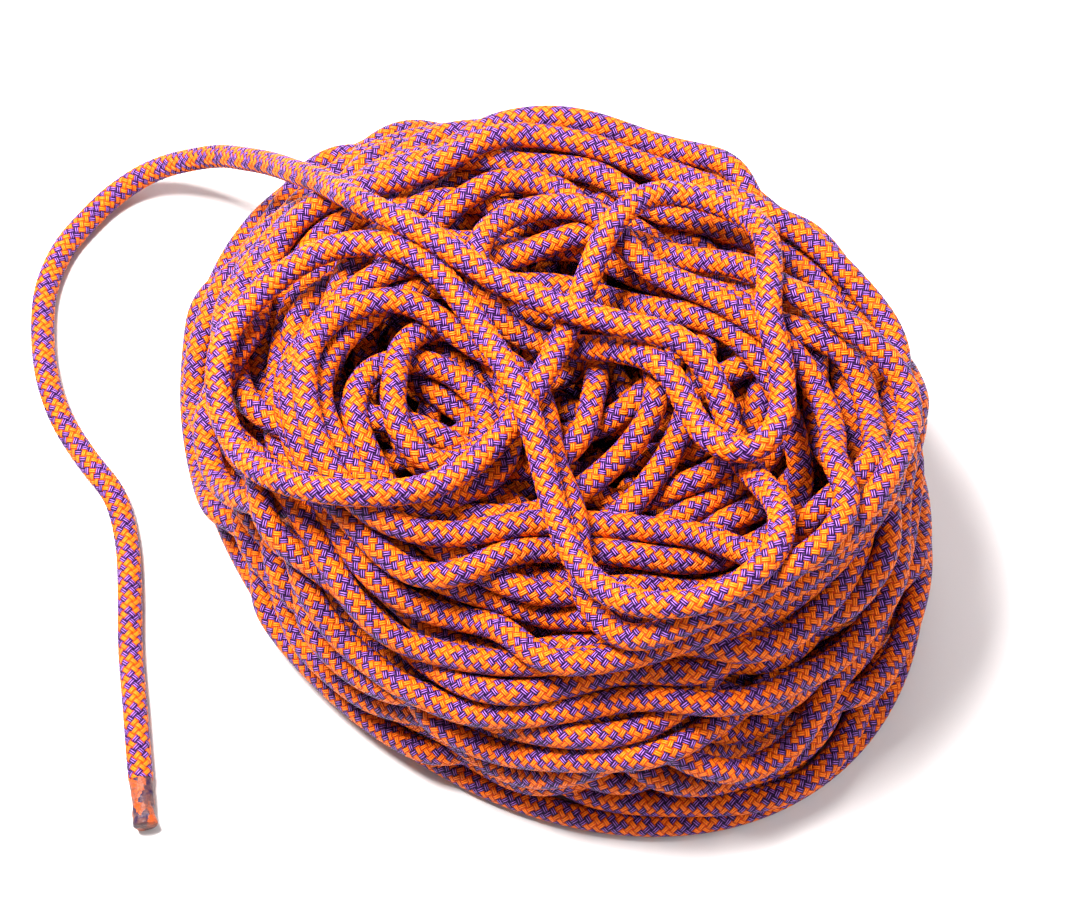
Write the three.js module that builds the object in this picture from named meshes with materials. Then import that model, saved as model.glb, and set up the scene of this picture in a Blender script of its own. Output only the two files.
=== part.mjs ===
// A dynamic climbing rope let down in a heap: the wound outer turns of the heap over its plain inner
// turns, the loose loops on top, and the free end, which runs down the heap's long slope to the floor.
// Millimetres, +Z up, floor at z = 0. The origin is on the floor, under the middle of the heap's top.
// The free stretch shows how the rope is made: a braided sheath round seven straight core strands.

import * as THREE from "three";

// ---------------------------------------------------------------------------- driving dimensions

const ROPE = {
  diameter: 10.5,
  sheathWall: 1.3,
  coreClearance: 0.3, // between the core strands, and between them and the sheath
  outerStrands: 6, // laid round one middle strand
  faceGap: 0.3, // between two stretches that meet end to end
};

const SEAL = {
  length: 22, // the braid is melted over this length
  neckWidth: 9.6,
  tipRounding: 2.4,
};

// The heap's outline is an oval on the floor and another at the top, and its side joins the two.
const HEAP = {
  height: 139, // floor to the top turns' upper side
  baseHalfLength: 200,
  baseHalfWidth: 150,
  baseHeading: 128, // degrees from +X, the way the long slope runs down
  baseCentreX: -6,
  baseCentreY: 40,
  topHalfWidth: 143,
  topHalfDepth: 114,
  topCentreY: 8,
  shoulderRadius: 20, // of the turns' centre line where the side rolls over into the top
};

const TURNS = {
  leastGap: 0.65, // between neighbouring turns
  drift: 3, // how far a turn on the side wanders from the outline
  eyeHalfWidth: 38, // of the oval eye that the top turns leave
  eyeHalfDepth: 28,
  startAngle: -4, // degrees from +X, where the lowest turn starts
  endAngle: 25, // and where the innermost one ends
  climb: 0.13, // of a turn, over which it rises onto the turns below the loops
  steps: 24, // rings in one turn
  sides: 6,
  coreGap: 0.4, // between the outer turns and the plain inner ones
};

const TUBE = { sides: 10, coarseStep: 28, fineStep: 21 };
const CORE_STRAND_SIDES = 6;
const INNER_SEGMENTS = 48;

// -------------------------------------------------------------------------------- worked-out sizes

const radius = ROPE.diameter / 2;
const layer = ROPE.diameter + TURNS.leastGap;
const topTurnZ = HEAP.height - radius;
const sideRise = topTurnZ - HEAP.shoulderRadius - radius;
const shoulderRun = (HEAP.shoulderRadius * Math.PI) / 2;
const topRun = HEAP.topHalfDepth - radius - HEAP.shoulderRadius - TURNS.eyeHalfDepth;
const windingRun = sideRise + shoulderRun + topRun;
// As many turns as fit, with the part turn that lies between the two end angles.
const partTurn = THREE.MathUtils.euclideanModulo((TURNS.startAngle - TURNS.endAngle) / 360, 1);
const turnCount = Math.floor(windingRun / layer - partTurn) + partTurn;
const pitch = windingRun / turnCount;
// The top's outline shrinks faster along X than along Y, so that the eye keeps its own proportions.
const widthPerDepth =
  (HEAP.topHalfWidth - radius - TURNS.eyeHalfWidth) / (HEAP.topHalfDepth - radius - TURNS.eyeHalfDepth);

const degrees = THREE.MathUtils.degToRad;
const mix = THREE.MathUtils.lerp;
const smooth = (share) => THREE.MathUtils.smoothstep(share, 0, 1);

const onFloor = radius;
const onTop = (layers) => topTurnZ + layers * layer;

// -------------------------------------------------------------------------- the loose rope's route

// Hand-chosen points of the rope's centre line, in the order in which the rope runs from the eye of
// the heap to its free end. A height is onTop(1) where the rope lies on the top turns, onTop(2) where
// it passes over another stretch, and a length in millimetres on the slope.
const RIGHT_LOOP = [
  [49, 2, onTop(1)],
  [54, -12, onTop(1)],
  [61, -28, onTop(1.6)],
  [69, -39, onTop(2.05)],
  [77, -41, onTop(2.1)],
  [83, -31, onTop(1.9)],
  [86, -13, onTop(1.2)],
  [85, 8, onTop(1)],
  [81, 26, onTop(1)],
  [82, 48, onTop(1)],
  [81, 66, onTop(1)],
  [73, 81, onTop(1)],
  [60, 89, onTop(1)],
  [45, 92, onTop(1)],
];

const LEFT_LOOP = [
  [31, 82, onTop(1)],
  [19, 68, onTop(1)],
  [10, 48, onTop(1)],
  [2, 30, onTop(1)],
  [-6, 13, onTop(1)],
  [-15, -4, onTop(1)],
  [-29, -22, onTop(1)],
  [-48, -38, onTop(1)],
  [-72, -45, onTop(1)],
  [-97, -42, onTop(1)],
  [-119, -28, onTop(0.85)],
  [-133, -6, onTop(0.55)],
  [-137, 17, onTop(0.45)],
  [-132, 41, onTop(0.5)],
  [-116, 58, onTop(0.8)],
  [-94, 66, onTop(1)],
  [-72, 64, onTop(1)],
  [-53, 54, onTop(1)],
  [-40, 40, onTop(1.05)],
  [-30, 24, onTop(1.5)],
  [-21, 8, onTop(2)],
  [-14, -9, onTop(2)],
];

const FRONT_BIGHT = [
  [-8, -28, onTop(1.4)],
  [-2, -50, onTop(1)],
  [7, -71, onTop(1.05)],
  [22, -86, onTop(1)],
  [44, -92, onTop(0.9)],
  [66, -86, onTop(0.9)],
  [80, -72, onTop(0.95)],
  [83, -55, onTop(1)],
  [78, -40, onTop(1)],
];

const CROSSING_STRETCH = [
  [70, -24, onTop(1)],
  [65, -9, onTop(1.1)],
  [60, 3, onTop(1.6)],
  [54, 12, onTop(2)],
  [46, 19, onTop(2.1)],
  [30, 24, onTop(2)],
  [11, 30, onTop(2)],
  [-9, 38, onTop(2)],
  [-32, 49, onTop(2)],
  [-53, 63, onTop(2)],
  [-70, 74, onTop(1.6)],
  [-83, 86, onTop(1.05)],
];

const FREE_STRETCH = [
  [-92, 99, 130],
  [-102, 115, 113],
  [-113, 134, 91],
  [-126, 157, 63],
  [-138, 177, 34],
  [-148, 189, 14],
  [-160, 195, onFloor],
  [-182, 192, onFloor],
  [-202, 180, onFloor],
  [-218, 164, onFloor],
  [-230, 146, onFloor],
  [-236, 125, onFloor],
  [-236, 104, onFloor],
  [-232, 80, onFloor],
  [-223, 57, onFloor],
  [-210, 37, onFloor],
  [-197, 20, onFloor],
  [-190, -2, onFloor],
  [-187, -26, onFloor],
  [-185, -52, onFloor],
  [-181, -80, onFloor],
  [-177, -108, onFloor],
  [-173, -133, onFloor],
];

const LOWER_TAIL_LENGTH = 48; // the rope's other end leaves the lowest turn by this much
const LOWER_TAIL_SWAY = 10;

// ---------------------------------------------------------------------------------- the wound turns

// A point of the heap's outline seen from above. rise is 0 at the floor and 1 where the side meets
// the shoulder, and inset is how far the point lies inside the outline.
function outline(angle, rise, inset) {
  const heading = degrees(HEAP.baseHeading);
  const base = new THREE.Vector2(
    (HEAP.baseHalfLength - inset) * Math.cos(angle - heading),
    (HEAP.baseHalfWidth - inset) * Math.sin(angle - heading),
  );
  base.rotateAround(new THREE.Vector2(), heading);
  base.x += HEAP.baseCentreX;
  base.y += HEAP.baseCentreY;
  const inner = Math.max(inset - radius, 0);
  const outer = inset - inner;
  const top = new THREE.Vector2(
    (HEAP.topHalfWidth - outer - inner * widthPerDepth) * Math.cos(angle),
    HEAP.topCentreY + (HEAP.topHalfDepth - inset) * Math.sin(angle),
  );
  return base.lerp(top, rise);
}

// The centre of the wound rope after some number of turns: up the side, over the shoulder, and in
// across the top to the eye, where the last stretch climbs one layer.
function windingPoint(turn) {
  const run = turn * pitch;
  const angle = degrees(TURNS.endAngle) + (turnCount - turn) * 2 * Math.PI;
  let rise = 1;
  let inset = radius;
  let height = topTurnZ;
  if (run < sideRise) {
    rise = run / sideRise;
    height = radius + run;
  } else if (run < sideRise + shoulderRun) {
    const roll = (run - sideRise) / HEAP.shoulderRadius;
    inset = radius + HEAP.shoulderRadius * (1 - Math.cos(roll));
    height = topTurnZ - HEAP.shoulderRadius * (1 - Math.sin(roll));
  } else {
    inset = radius + HEAP.shoulderRadius + run - sideRise - shoulderRun;
  }
  height += layer * smooth((turn - turnCount + TURNS.climb) / TURNS.climb);
  const point = outline(angle, rise, inset);
  const drift = TURNS.drift * (1 - rise);
  point.x += drift * Math.sin(2.3 * turn);
  point.y += drift * Math.cos(3.1 * turn);
  return new THREE.Vector3(point.x, point.y, height);
}

// The rings' centres, with both ends run straight for one rope diameter.
function windingCentres() {
  const count = Math.round(turnCount * TURNS.steps);
  const centres = [];
  for (let i = 0; i <= count; i++) {
    centres.push(windingPoint((turnCount * i) / count));
  }
  const nudge = 1e-3;
  const first = windingPoint(0).sub(windingPoint(nudge)).normalize();
  const last = windingPoint(turnCount).sub(windingPoint(turnCount - nudge)).normalize();
  first.setZ(0).normalize();
  last.setZ(0).normalize();
  centres.unshift(centres[0].clone().addScaledVector(first, ROPE.diameter));
  centres.push(centres[centres.length - 1].clone().addScaledVector(last, ROPE.diameter));
  return centres;
}

// A closed tube through the given centres, in rings that stand upright across the route.
function upright(centres, sides) {
  const up = new THREE.Vector3(0, 0, 1);
  const positions = [];
  const index = [];
  centres.forEach((centre, i) => {
    const before = centres[Math.max(i - 1, 0)];
    const after = centres[Math.min(i + 1, centres.length - 1)];
    const ahead = after.clone().sub(before).normalize();
    const side = ahead.clone().cross(up).normalize();
    const rise = side.clone().cross(ahead);
    for (let k = 0; k < sides; k++) {
      const angle = ((k + 0.5) * 2 * Math.PI) / sides;
      const corner = centre.clone();
      corner.addScaledVector(side, radius * Math.cos(angle));
      corner.addScaledVector(rise, radius * Math.sin(angle));
      positions.push(corner.x, corner.y, corner.z);
    }
  });
  const rings = centres.length;
  for (let i = 0; i < rings - 1; i++) {
    for (let k = 0; k < sides; k++) {
      const here = i * sides;
      const next = here + sides;
      const other = (k + 1) % sides;
      index.push(here + k, next + k, here + other);
      index.push(here + other, next + k, next + other);
    }
  }
  const lastRing = (rings - 1) * sides;
  for (let k = 1; k < sides - 1; k++) {
    index.push(0, k, k + 1);
    index.push(lastRing, lastRing + k + 1, lastRing + k);
  }
  const geometry = new THREE.BufferGeometry();
  geometry.setAttribute("position", new THREE.Float32BufferAttribute(positions, 3));
  geometry.setIndex(index);
  return geometry;
}

// The least distance between two turns, less the rope's diameter, on points between the rings too.
function leastGap(centres) {
  const perStep = 3;
  const points = [];
  for (let i = 0; i < centres.length - 1; i++) {
    for (let k = 0; k < perStep; k++) {
      points.push(centres[i].clone().lerp(centres[i + 1], k / perStep));
    }
  }
  const nearTurn = (TURNS.steps * perStep) / 3;
  let least = Infinity;
  for (let i = 0; i < points.length; i++) {
    for (let j = i + nearTurn; j < points.length; j++) {
      least = Math.min(least, points[i].distanceToSquared(points[j]));
    }
  }
  return Math.sqrt(least) - ROPE.diameter;
}

// The turns inside the heap, as one plain solid with a flat foot, just clear of the wound ones.
function innerTurns() {
  const sag = HEAP.baseHalfLength * (1 - Math.cos(Math.PI / TURNS.steps));
  const sideInset = ROPE.diameter + TURNS.drift + sag + TURNS.coreGap;
  const topInset = radius + HEAP.shoulderRadius;
  const sideTop = topTurnZ - HEAP.shoulderRadius;
  const top = topTurnZ - radius - TURNS.coreGap;
  const levels = [
    [0, 0, sideInset],
    [(sideTop - radius) / 2 / sideRise, sideTop / 2, sideInset],
    [1, sideTop, sideInset],
  ];
  const rollSteps = 3;
  for (let i = 1; i <= rollSteps; i++) {
    const roll = (i / rollSteps) * (Math.PI / 2);
    const inset = mix(topInset, sideInset, Math.cos(roll));
    levels.push([1, mix(sideTop, top, Math.sin(roll)), inset]);
  }
  const positions = [];
  const index = [];
  for (const [rise, z, inset] of levels) {
    for (let k = 0; k < INNER_SEGMENTS; k++) {
      const point = outline((k * 2 * Math.PI) / INNER_SEGMENTS, rise, inset);
      positions.push(point.x, point.y, z);
    }
  }
  const foot = levels.length * INNER_SEGMENTS;
  const crown = foot + 1;
  positions.push(HEAP.baseCentreX, HEAP.baseCentreY, 0);
  positions.push(0, HEAP.topCentreY, top);
  const lastRing = foot - INNER_SEGMENTS;
  for (let k = 0; k < INNER_SEGMENTS; k++) {
    const next = (k + 1) % INNER_SEGMENTS;
    index.push(foot, next, k);
    index.push(crown, lastRing + k, lastRing + next);
    for (let ring = 0; ring < levels.length - 1; ring++) {
      const low = ring * INNER_SEGMENTS;
      const high = low + INNER_SEGMENTS;
      index.push(low + k, low + next, high + k);
      index.push(low + next, high + next, high + k);
    }
  }
  const geometry = new THREE.BufferGeometry();
  geometry.setAttribute("position", new THREE.Float32BufferAttribute(positions, 3));
  geometry.setIndex(index);
  return geometry;
}

// ------------------------------------------------------------------------------- the loose stretches

// A part of a longer route, between two lengths measured along it.
class Stretch extends THREE.Curve {
  constructor(route, from, to) {
    super();
    this.route = route;
    this.from = from;
    this.to = to;
  }

  getPoint(share, target = new THREE.Vector3()) {
    const along = mix(this.from, this.to, share) / this.route.getLength();
    return target.copy(this.route.getPointAt(THREE.MathUtils.clamp(along, 0, 1)));
  }
}

function smoothRoute(points) {
  const route = new THREE.CatmullRomCurve3(points, false, "centripetal");
  route.arcLengthDivisions = 60 * points.length;
  return route;
}

function ring(size, sides, x = 0, y = 0) {
  const corners = [];
  for (let k = 0; k < sides; k++) {
    const angle = (k * 2 * Math.PI) / sides;
    corners.push(new THREE.Vector2(x + size * Math.cos(angle), y + size * Math.sin(angle)));
  }
  return corners;
}

const ropeSection = () => new THREE.Shape(ring(radius, TUBE.sides));

function sheathSection() {
  const section = ropeSection();
  section.holes.push(new THREE.Path(ring(radius - ROPE.sheathWall, TUBE.sides).reverse()));
  return section;
}

// The middle strand is number 0. The others stand round it, one clearance off.
function coreStrandSection(number) {
  const boreInside = (radius - ROPE.sheathWall) * Math.cos(Math.PI / TUBE.sides);
  const size = (boreInside - 2 * ROPE.coreClearance) / 3;
  const reach = number === 0 ? 0 : 2 * size + ROPE.coreClearance;
  const angle = (number * 2 * Math.PI) / ROPE.outerStrands;
  return new THREE.Shape(ring(size, CORE_STRAND_SIDES, reach * Math.cos(angle), reach * Math.sin(angle)));
}

function along(stretch, section, step) {
  const steps = Math.max(2, Math.round(Math.abs(stretch.to - stretch.from) / step));
  return new THREE.ExtrudeGeometry(section, { steps, extrudePath: stretch, bevelEnabled: false });
}

// The fused end: sheath and core melted into one plug, drawn in behind a slightly swollen tip.
function fusedEnd() {
  const swell = SEAL.length * 0.72;
  const profile = [
    new THREE.Vector2(0, 0),
    new THREE.Vector2(radius, 0),
    new THREE.Vector2(SEAL.neckWidth / 2, SEAL.length * 0.3),
    new THREE.Vector2(radius, swell),
    new THREE.Vector2(radius, SEAL.length - SEAL.tipRounding),
    new THREE.Vector2(radius - SEAL.tipRounding * 0.4, SEAL.length - SEAL.tipRounding * 0.35),
    new THREE.Vector2(radius - SEAL.tipRounding, SEAL.length),
    new THREE.Vector2(0, SEAL.length),
  ];
  return new THREE.LatheGeometry(profile, 12);
}

function placeFusedEnd(mesh, stretch) {
  const ahead = stretch.getTangent(1);
  mesh.position.copy(stretch.getPoint(1)).addScaledVector(ahead, ROPE.faceGap);
  mesh.quaternion.setFromUnitVectors(new THREE.Vector3(0, 1, 0), ahead);
}

// -------------------------------------------------------------------------------------- materials

const braid = (color) => new THREE.MeshStandardMaterial({ color, roughness: 0.6, metalness: 0 });
const litBraid = braid(0xe88a3c);
const shadedBraid = braid(0xb4501e);
const coreYarn = new THREE.MeshStandardMaterial({ color: 0xf2efe6, roughness: 0.7, metalness: 0 });
const meltedNylon = new THREE.MeshStandardMaterial({ color: 0x8a4a2c, roughness: 0.35, metalness: 0 });

// --------------------------------------------------------------------------------------- the model

const rope = new THREE.Group();

function add(name, geometry, material) {
  const mesh = new THREE.Mesh(geometry, material);
  mesh.name = name;
  rope.add(mesh);
  return mesh;
}

const centres = windingCentres();
add("inner_turns", innerTurns(), shadedBraid);
add("outer_turns", upright(centres, TURNS.sides), shadedBraid);

const eyeEnd = centres[centres.length - 1];
const eyeAhead = eyeEnd.clone().sub(centres[centres.length - 2]).normalize();
const looseRoutes = [RIGHT_LOOP, LEFT_LOOP, FRONT_BIGHT, CROSSING_STRETCH, FREE_STRETCH];
const loosePoints = looseRoutes.flat().map((point) => new THREE.Vector3(...point));
const loose = smoothRoute([
  eyeEnd.clone().addScaledVector(eyeAhead, ROPE.faceGap / 2),
  eyeEnd.clone().addScaledVector(eyeAhead, radius),
  ...loosePoints,
]);

// How far along the route the point nearest to a hand-chosen one lies.
function lengthTo(point) {
  const target = new THREE.Vector3(...point);
  const lengths = loose.getLengths();
  let best = 0;
  let least = Infinity;
  lengths.forEach((length, i) => {
    const distance = loose.getPoint(i / (lengths.length - 1)).distanceTo(target);
    if (distance < least) {
      least = distance;
      best = length;
    }
  });
  return best;
}

const joints = [
  0,
  lengthTo(LEFT_LOOP[0]),
  lengthTo(FRONT_BIGHT[0]),
  lengthTo(CROSSING_STRETCH[0]),
  lengthTo(FREE_STRETCH[0]),
  loose.getLength() - SEAL.length,
];
const stretchAt = (number) =>
  new Stretch(loose, joints[number] + ROPE.faceGap / 2, joints[number + 1] - ROPE.faceGap / 2);

["right_loop", "left_loop", "front_bight", "crossing_stretch"].forEach((name, number) => {
  add(name, along(stretchAt(number), ropeSection(), TUBE.fineStep), litBraid);
});

const free = stretchAt(4);
add("free_sheath", along(free, sheathSection(), TUBE.coarseStep), litBraid);
for (let number = 0; number <= ROPE.outerStrands; number++) {
  add(`core_strand_${number + 1}`, along(free, coreStrandSection(number), TUBE.coarseStep), coreYarn);
}
placeFusedEnd(add("free_end_seal", fusedEnd(), meltedNylon), free);

const tailStart = centres[0];
const tailAhead = tailStart.clone().sub(centres[1]).normalize();
const tailAside = new THREE.Vector3(tailAhead.y, -tailAhead.x, 0);
const tailPoint = (share) =>
  tailStart
    .clone()
    .addScaledVector(tailAhead, LOWER_TAIL_LENGTH * share)
    .addScaledVector(tailAside, LOWER_TAIL_SWAY * share ** 3);
const tailRoute = smoothRoute([0, 0.25, 0.5, 0.75, 1].map(tailPoint));
const tail = new Stretch(tailRoute, ROPE.faceGap, tailRoute.getLength());
add("lower_tail", along(tail, ropeSection(), TUBE.fineStep), shadedBraid);
placeFusedEnd(add("lower_end_seal", fusedEnd(), meltedNylon), tail);

console.log(`outer_turns: ${turnCount.toFixed(2)} turns, least gap to itself ${leastGap(centres).toFixed(2)} mm`);
console.log(`loose rope ${loose.getLength().toFixed(0)} mm, of which the free stretch ${(free.to - free.from).toFixed(0)} mm`);

export default rope;
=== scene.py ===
"""A dynamic climbing rope let down in a heap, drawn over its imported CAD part.

The rope is one line of about 50 m. It starts at the lower fused end, is laid turn on
turn until that length is reached, goes round in the loose loops on top and runs down to
the free fused end. Lengths here are in millimetres until a mesh is made.
"""

import logging
import math
from dataclasses import dataclass
from enum import Enum
from functools import partialmethod
from typing import NamedTuple

import bpy
import numpy as np
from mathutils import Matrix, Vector


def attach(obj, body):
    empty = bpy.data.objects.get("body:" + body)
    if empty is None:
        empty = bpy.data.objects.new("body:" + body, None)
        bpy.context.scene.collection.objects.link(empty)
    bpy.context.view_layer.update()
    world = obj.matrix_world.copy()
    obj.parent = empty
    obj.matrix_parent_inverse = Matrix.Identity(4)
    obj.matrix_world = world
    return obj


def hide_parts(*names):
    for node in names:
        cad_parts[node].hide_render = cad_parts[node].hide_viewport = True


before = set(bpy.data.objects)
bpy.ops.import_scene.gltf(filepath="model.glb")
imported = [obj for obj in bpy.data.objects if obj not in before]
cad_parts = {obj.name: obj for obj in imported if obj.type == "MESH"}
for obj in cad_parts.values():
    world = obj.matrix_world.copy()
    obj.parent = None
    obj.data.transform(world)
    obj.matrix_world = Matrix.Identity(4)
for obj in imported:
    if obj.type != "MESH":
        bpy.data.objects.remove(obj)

Array = np.ndarray
LOG = logging.getLogger("rope")
METRE = 0.001  # metres in a millimetre

ROPE_DIAMETER = 10.5
ROPE_RADIUS = ROPE_DIAMETER / 2
ROPE_LENGTH = 50000.0
SEAL_LENGTH = 22.0

BRAID_UNIT = 3.7  # rope length that one crossing takes
BRAID_STRANDS = 8  # each way round, each of two yarns
COLOUR_REPEAT = 4.0  # two violet strands and two orange ones
LAST_VIOLET = 1.5  # strands 0 and 1 of each repeat are violet
FLOAT_WIDTH = 0.70  # a strand's width where it lies on top, of the room it has
FLOAT_REACH = 0.5 + (1 - FLOAT_WIDTH) / 2  # from its middle to its ends
BRAID_RELIEF = 0.42
BRAID_SWELL = 1.4  # how much of the relief the braid's highest points stand out

STEP = 4.0  # between two points of the rope's line
CURVE_PARTS = 12  # points that a curve has from one chosen point to the next


class Finish(Enum):
    """The record's material slots."""

    BRAID = "braid"
    CORE = "core_yarn"
    FUSED = "fused_nylon"


# ---- the heap's room


class Outline:
    """The oval that the heap fills, from the floor up to its top."""

    HEADING = math.radians(128)
    BASE_HALF = (200.0 - ROPE_RADIUS, 150.0 - ROPE_RADIUS)
    BASE_CENTRE = (-6.0, 40.0)
    TOP_HALF = (143.0 - ROPE_RADIUS, 114.0 - ROPE_RADIUS)
    TOP_CENTRE = (0.0, 8.0)
    TOP_HEIGHT = 139.0

    def __init__(self) -> None:
        c, s = math.cos(self.HEADING), math.sin(self.HEADING)
        turn = np.array([[c, -s], [s, c]])
        self.base = turn @ np.diag(self.BASE_HALF) @ turn.T
        self.top = np.diag(self.TOP_HALF)

    def _at(self, rise: Array) -> tuple[Array, Array]:
        """The oval's matrix and centre at these heights, from 0 below to 1 on top."""
        rise = np.asarray(rise)[:, None]
        matrix = self.base * (1 - rise[..., None]) + self.top * rise[..., None]
        low, high = np.array(self.BASE_CENTRE), np.array(self.TOP_CENTRE)
        return matrix, low * (1 - rise) + high * rise

    def place(self, disc: Array, rise: Array) -> Array:
        """Points of the unit disc as places in the heap."""
        matrix, centre = self._at(rise)
        return np.einsum("nij,nj->ni", matrix, disc) + centre

    def hold(self, places: Array, rise: Array) -> Array:
        """The same places, with any outside the oval brought back to its rim."""
        matrix, centre = self._at(rise)
        disc = np.linalg.solve(matrix, (places - centre)[..., None])[..., 0]
        disc /= np.maximum(np.hypot(*disc.T), 1.0)[:, None]
        return self.place(disc, rise)


class HeightField:
    """The upper surface of the rope laid so far, on a fine square grid."""

    CELL = 1.5
    LOW = (-260.0, -180.0)
    HIGH = (230.0, 270.0)
    MOST = 60  # the share of the heap, in hundredths, that counts as most of it

    def __init__(self) -> None:
        self.size = [int((b - a) / self.CELL) for a, b in zip(self.LOW, self.HIGH)]
        self.height = np.zeros(self.size)
        reach = int(math.ceil(ROPE_RADIUS / self.CELL)) + 1
        near = np.arange(-reach, reach + 1)
        self.near = [a.ravel() for a in np.meshgrid(near, near, indexing="ij")]

    def _round(self, x: Array, y: Array) -> tuple[Array, Array, Array]:
        """The cells round each point, and how far the rope's skin is from its middle."""
        cells, away = [], []
        for axis, value in enumerate((x, y)):
            index = np.floor((value - self.LOW[axis]) / self.CELL).astype(int)
            cell = np.clip(index[:, None] + self.near[axis], 0, self.size[axis] - 1)
            cells.append(cell)
            away.append(self.LOW[axis] + (cell + 0.5) * self.CELL - value[:, None])
        square = ROPE_RADIUS**2 - away[0] ** 2 - away[1] ** 2
        lift = np.where(square > 0, np.sqrt(np.maximum(square, 0)), np.nan)
        return cells[0], cells[1], lift

    def rest(self, x: Array, y: Array) -> Array:
        """The height at which a rope's middle rests on what lies at each point."""
        i, j, lift = self._round(x, y)
        found = np.where(np.isnan(lift), -np.inf, self.height[i, j] + lift)
        return np.maximum(found.max(1), ROPE_RADIUS)

    def lay(self, line: Array) -> None:
        """Adds a stretch of rope to the surface."""
        line = np.concatenate([line, (line[1:] + line[:-1]) / 2])
        i, j, lift = self._round(line[:, 0], line[:, 1])
        top = np.where(np.isnan(lift), -np.inf, line[:, 2:3] + lift)
        np.maximum.at(self.height, (i.ravel(), j.ravel()), top.ravel())

    def level(self) -> float:
        """How high most of the heap has grown."""
        filled = self.height[self.height > 1]
        return float(np.percentile(filled, self.MOST)) if filled.size else 0.0


# ---- lines


def smooth(values: Array, width: int, passes: int = 1) -> Array:
    """A running mean of that many values, with the ends held."""
    kernel = np.ones(width) / width
    for _ in range(passes):
        values = np.convolve(np.pad(values, width // 2, mode="edge"), kernel, mode="valid")
    return values


def hang(low: Array, reach: int, bend: float) -> Array:
    """The lowest line over these heights that bends no more than the rope can."""
    line = low.copy()
    for j in range(1, reach + 1):
        drop = 0.5 * bend * (j * STEP) ** 2
        line[j:] = np.maximum(line[j:], low[:-j] - drop)
        line[:-j] = np.maximum(line[:-j], low[j:] - drop)
    return line


def along(line: Array) -> Array:
    """The length of the line up to each of its points."""
    return np.concatenate([[0.0], np.cumsum(np.linalg.norm(np.diff(line, axis=0), axis=1))])


def even(line: Array) -> Array:
    """The line with its points evenly apart."""
    at = along(line)
    count = max(int(round(at[-1] / STEP)), 1)
    wanted = np.linspace(0, at[-1], count + 1)
    return np.stack([np.interp(wanted, at, column) for column in line.T], 1)


def unit(vectors: Array) -> Array:
    """The same directions, each 1 long."""
    return vectors / np.linalg.norm(vectors, axis=1)[:, None]


def curve_through(points: Array) -> Array:
    """A smooth curve through points that may lie unevenly apart."""
    points = np.vstack([2 * points[0] - points[1], points, 2 * points[-1] - points[-2]])
    knots = np.concatenate(
        [[0.0], np.cumsum(np.sqrt(np.linalg.norm(np.diff(points[:, :2], axis=0), axis=1)))]
    )
    out = []
    for k in range(1, len(points) - 2):
        p, t = points[k - 1 : k + 3], knots[k - 1 : k + 3]
        u = np.linspace(t[1], t[2], CURVE_PARTS, endpoint=False)[:, None]
        a = [
            ((t[m + 1] - u) * p[m] + (u - t[m]) * p[m + 1]) / (t[m + 1] - t[m])
            for m in range(3)
        ]
        b = [
            ((t[m + 2] - u) * a[m] + (u - t[m]) * a[m + 1]) / (t[m + 2] - t[m])
            for m in range(2)
        ]
        out.append(((t[2] - u) * b[0] + (u - t[1]) * b[1]) / (t[2] - t[1]))
    out.append(points[-2:-1])
    return np.vstack(out)


# ---- given routes

# From the lower fused end's tip to the floor's rim, where the first turn starts.
TAIL_ROUTE = ((169, 87), (167, 72), (163, 52), (158, 30), (154, 10))

# The last turns of the heap, which show under the loose loops.
TOP_TURNS = (
    (136, -15), (133, -32), (127, -54), (114, -77), (95, -93), (69, -103), (34, -104),
    (-1, -96), (-36, -84), (-69, -67), (-96, -42), (-113, -13), (-117, 17), (-107, 45),
    (-88, 68), (-65, 82), (-40, 92), (-9, 100), (23, 87), (54, 69), (77, 53), (94, 34),
    (108, 1), (119, -24), (123, -45), (118, -64), (103, -79), (79, -90), (48, -92),
    (15, -84), (-18, -73), (-48, -60), (-76, -46), (-96, -27), (-102, -4), (-103, 20),
    (-96, 44), (-79, 66), (-51, 80), (-24, 88), (5, 86), (34, 74), (63, 61), (89, 40),
    (110, 17), (122, 0), (125, -17), (121, -34), (110, -50), (95, -63), (74, -71),
    (48, -74), (19, -72), (-10, -66), (-40, -57), (-60, -45), (-73, -28), (-79, -6),
    (-75, 15), (-65, 29), (-53, 29), (-42, 17), (-35, -1), (-37, -19), (-47, -27),
    (-60, -20), (-68, -4), (-71, 15), (-66, 32), (-53, 40), (-40, 36), (-29, 17), (-24, -4),
    (-26, -24), (-38, -36), (-55, -36), (-72, -25), (-82, -9), (-88, 6), (-88, 24),
    (-79, 38), (-61, 45), (-42, 46), (-16, 50), (11, 53), (38, 48), (65, 30), (86, 6),
    (95, -7), (97, -24), (91, -41), (78, -53), (60, -60), (38, -63), (12, -64), (-18, -65),
    (-48, -62), (-74, -48), (-90, -26), (-97, 2), (-92, 30), (-73, 53), (-47, 67),
    (-16, 75), (15, 72), (46, 61), (77, 43), (104, 19), (126, 4), (137, -13), (135, -32),
    (126, -52), (112, -65), (97, -70), (84, -67), (73, -61), (61, -55), (46, -52),
    (28, -52), (5, -52), (-19, -49), (-40, -47), (-63, -45), (-71, -44), (-84, -35),
    (-94, -24), (-102, -11), (-106, 4), (-105, 17), (-98, 33), (-84, 44), (-63, 48),
    (-46, 38), (-30, 24), (-16, 6), (-5, -11), (0, -28), (4, -45), (8, -61), (14, -77),
    (26, -90), (46, -98), (73, -94), (98, -76), (112, -50), (110, -19), (100, 6), (85, 28),
    (61, 50), (34, 69), (11, 81), (-12, 85), (-32, 78), (-40, 61), (-36, 42), (-20, 31),
    (1, 28), (19, 26), (34, 20),
)

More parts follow.
